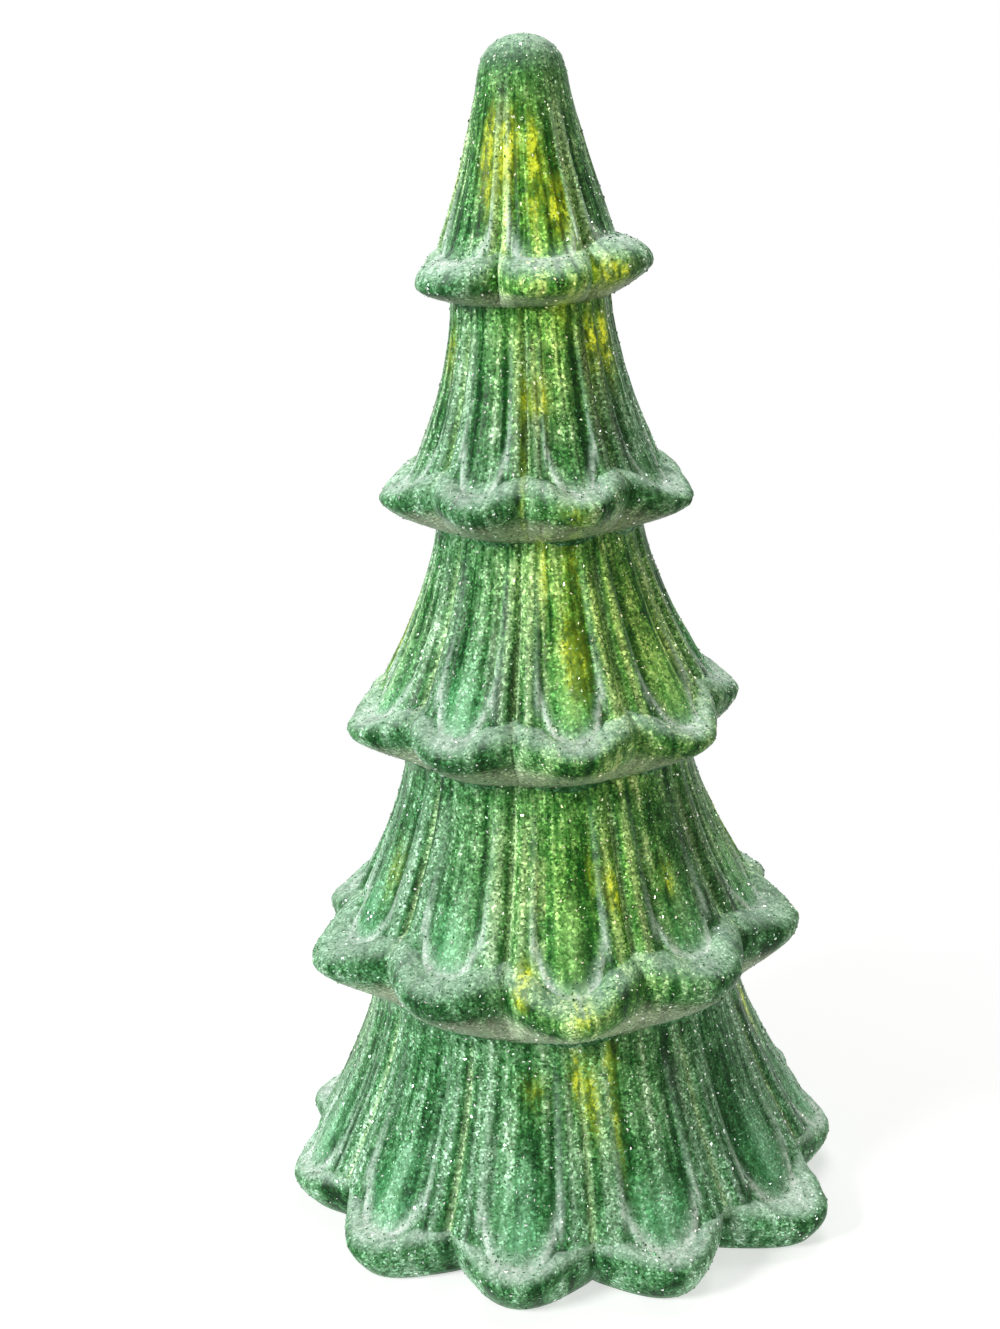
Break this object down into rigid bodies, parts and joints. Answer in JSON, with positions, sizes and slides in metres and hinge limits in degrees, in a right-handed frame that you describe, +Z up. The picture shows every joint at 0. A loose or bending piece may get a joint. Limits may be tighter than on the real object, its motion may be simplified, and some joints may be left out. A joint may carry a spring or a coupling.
{
  "type": "light-up glass tree",
  "caption": "Free-standing blown glass tree with lobed tiers, lit inside by a wound string of small lights, on a round battery base with a hinged door and a slide switch.",
  "frame": {"origin": "on the table under the tree's axis, at the bottom of the rubber feet", "axes": "+Z up along the tree's axis, -Y is the front seen in the picture, +X to its right"},
  "size_m": [0.1839, 0.1839, 0.376],
  "materials": {
    "green_glass": "blown glass, green and silvered in patches, frosted with fine glitter",
    "clear_silicone": "soft translucent",
    "base_plastic": "satin moulded",
    "foot_rubber": "matt",
    "screw_steel": "zinc plated",
    "cell_jacket": "plain printed film jacket",
    "contact_metal": "nickel plated",
    "switch_black": "satin moulded",
    "board_green": "solder mask",
    "crystal_can": "satin",
    "capacitor_sleeve": "shrink sleeve",
    "lead_red": "soft insulation",
    "lead_black": "soft insulation",
    "lead_yellow": "soft insulation",
    "stem_clear": "clear moulded",
    "wire_copper": "enamelled copper",
    "led_resin": "clear resin drop, lit warm white"
  },
  "bodies": {
    "tree": {"glass_tree": "green_glass", "seal_ring": "clear_silicone", "base_cup": "base_plastic", "base_cover": "base_plastic", "rubber_feet": "foot_rubber", "wire_grommet": "foot_rubber", "cover_screws": "screw_steel", "switch_screws": "screw_steel", "board_screws": "screw_steel", "battery_front": "cell_jacket", "battery_middle": "cell_jacket", "battery_back": "cell_jacket", "spring_front": "contact_metal", "spring_middle": "contact_metal", "spring_back": "contact_metal", "plate_plus": "contact_metal", "plate_minus": "contact_metal", "plate_bridge_left": "contact_metal", "plate_bridge_right": "contact_metal", "switch_body": "switch_black", "timer_chip": "switch_black", "timer_board": "board_green", "timer_crystal": "crystal_can", "timer_capacitor": "capacitor_sleeve", "lead_red": "lead_red", "lead_black": "lead_black", "lead_switch": "lead_yellow", "light_stem": "stem_clear", "stem_cap": "stem_clear", "light_wire": "wire_copper", "led_01": "led_resin", "led_02": "led_resin", "led_03": "led_resin", "led_04": "led_resin", "led_05": "led_resin", "led_06": "led_resin", "led_07": "led_resin", "led_08": "led_resin", "led_09": "led_resin", "led_10": "led_resin", "led_11": "led_resin", "led_12": "led_resin"},
    "battery_door": {"battery_door": "base_plastic"},
    "door_screw": {"door_screw": "screw_steel", "screw_washer": "foot_rubber"},
    "switch_knob": {"switch_knob": "switch_black"}
  },
  "joints": [
    {"name": "door_hinge", "type": "hinge", "parent": "tree", "child": "battery_door", "pos_m": [0, 0.0347, 0.0038], "axis": [1, 0, 0], "range_deg": [0, 95]},
    {"name": "screw_turn", "type": "hinge", "parent": "battery_door", "child": "door_screw", "pos_m": [0, -0.0225, 0.0016], "axis": [0, 0, 1], "continuous": true},
    {"name": "knob_slide", "type": "slide", "parent": "tree", "child": "switch_knob", "axis": [0, 1, 0], "range_m": [-0.002, 0.002]}
  ]
}
